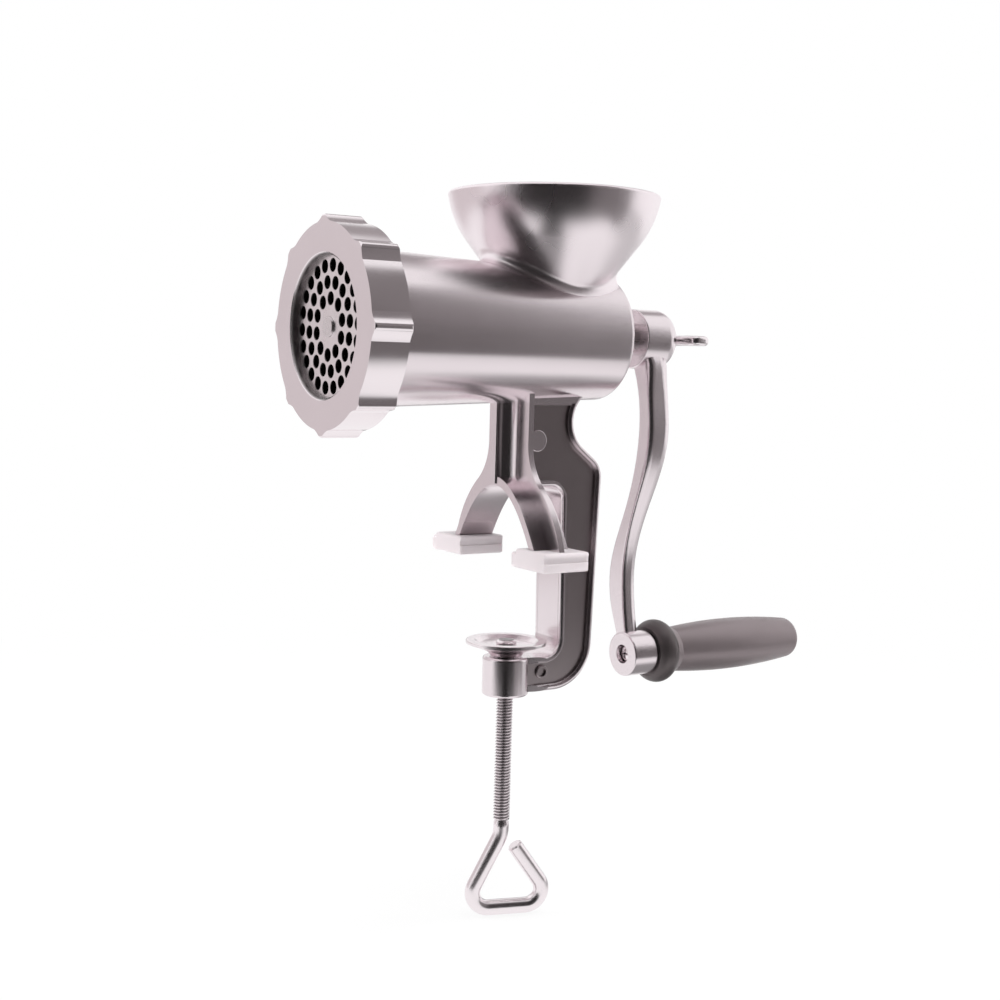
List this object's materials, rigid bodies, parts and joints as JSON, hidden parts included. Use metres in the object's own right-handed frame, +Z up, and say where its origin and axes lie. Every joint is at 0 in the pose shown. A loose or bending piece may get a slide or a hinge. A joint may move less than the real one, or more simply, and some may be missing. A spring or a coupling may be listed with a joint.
{
  "type": "hand crank meat grinder",
  "caption": "Table-clamped hand crank meat grinder: a tapered barrel with bowl hopper, worm, knife, holed plate and ring nut, turned by an S-shaped crank.",
  "frame": {"origin": "on the table top (the underside of the two pads), on the clamp screw's axis, in the barrel's plane of symmetry", "axes": "+Z up along the clamp screw, -Y is the outlet end of the barrel, +Y is the crank end, +X is across the barrel"},
  "size_m": [0.0715, 0.1973, 0.24],
  "materials": {
    "cast_aluminium": "satin polished casting",
    "ring_aluminium": "polished",
    "worm_aluminium": "as cast",
    "crank_aluminium": "satin polished casting",
    "plate_steel": "ground",
    "tool_steel": "ground",
    "zinc_steel": "bright zinc plated",
    "bush_steel": "machined",
    "washer_fibre": "fibre",
    "pad_plastic": "soft white plastic",
    "grip_plastic": "matte moulded plastic"
  },
  "bodies": {
    "frame": {"barrel": "cast_aluminium", "feed_hopper": "cast_aluminium", "clamp_frame": "cast_aluminium", "table_pad_left": "pad_plastic", "table_pad_right": "pad_plastic", "rear_bush": "bush_steel", "plate_key_pin": "tool_steel"},
    "crank": {"auger_worm": "worm_aluminium", "drive_shaft": "tool_steel", "knife_stub": "tool_steel", "thrust_washer": "washer_fibre", "cross_knife": "tool_steel", "crank_arm": "crank_aluminium", "grip_bolt": "zinc_steel", "grip_sleeve": "zinc_steel", "grip_washer": "zinc_steel", "grip_nut": "zinc_steel"},
    "grip": {"handle_grip": "grip_plastic"},
    "wing_washer": {"crank_washer": "zinc_steel"},
    "wing": {"wing_screw": "zinc_steel"},
    "plate": {"hole_plate": "plate_steel"},
    "ring": {"ring_nut": "ring_aluminium"},
    "disc": {"pressure_disc": "zinc_steel"},
    "screw": {"clamp_screw": "zinc_steel"}
  },
  "joints": [
    {"name": "crank_turn", "type": "hinge", "parent": "frame", "child": "crank", "pos_m": [0, 0.0489, 0.0739], "axis": [0, -1, 0], "continuous": true},
    {"name": "grip_spin", "type": "hinge", "parent": "crank", "child": "grip", "pos_m": [0, 0.09, -0.0356], "axis": [0, 1, 0], "continuous": true},
    {"name": "wing_travel", "type": "slide", "parent": "crank", "child": "wing_washer", "axis": [0, 1, 0], "range_m": [0, 0.01]},
    {"name": "wing_turn", "type": "hinge", "parent": "wing_washer", "child": "wing", "pos_m": [0, 0.065, 0.0739], "axis": [0, 1, 0], "range_deg": [0, 4500]},
    {"name": "plate_travel", "type": "slide", "parent": "frame", "child": "plate", "axis": [0, -1, 0], "range_m": [0, 0.009]},
    {"name": "ring_turn", "type": "hinge", "parent": "plate", "child": "ring", "pos_m": [0, -0.065, 0.0739], "axis": [0, -1, 0], "range_deg": [0, 1080]},
    {"name": "clamp_travel", "type": "slide", "parent": "frame", "child": "disc", "axis": [0, 0, 1], "range_m": [0, 0.025]},
    {"name": "screw_turn", "type": "hinge", "parent": "disc", "child": "screw", "pos_m": [0, 0, -0.05], "axis": [0, 0, 1], "range_deg": [0, 9000]}
  ],
  "couplings": [
    {"joint": "wing_turn", "follows": "wing_travel", "rad_per_m": 7854},
    {"joint": "ring_turn", "follows": "plate_travel", "rad_per_m": 2094.4},
    {"joint": "screw_turn", "follows": "clamp_travel", "rad_per_m": 6283.2}
  ]
}
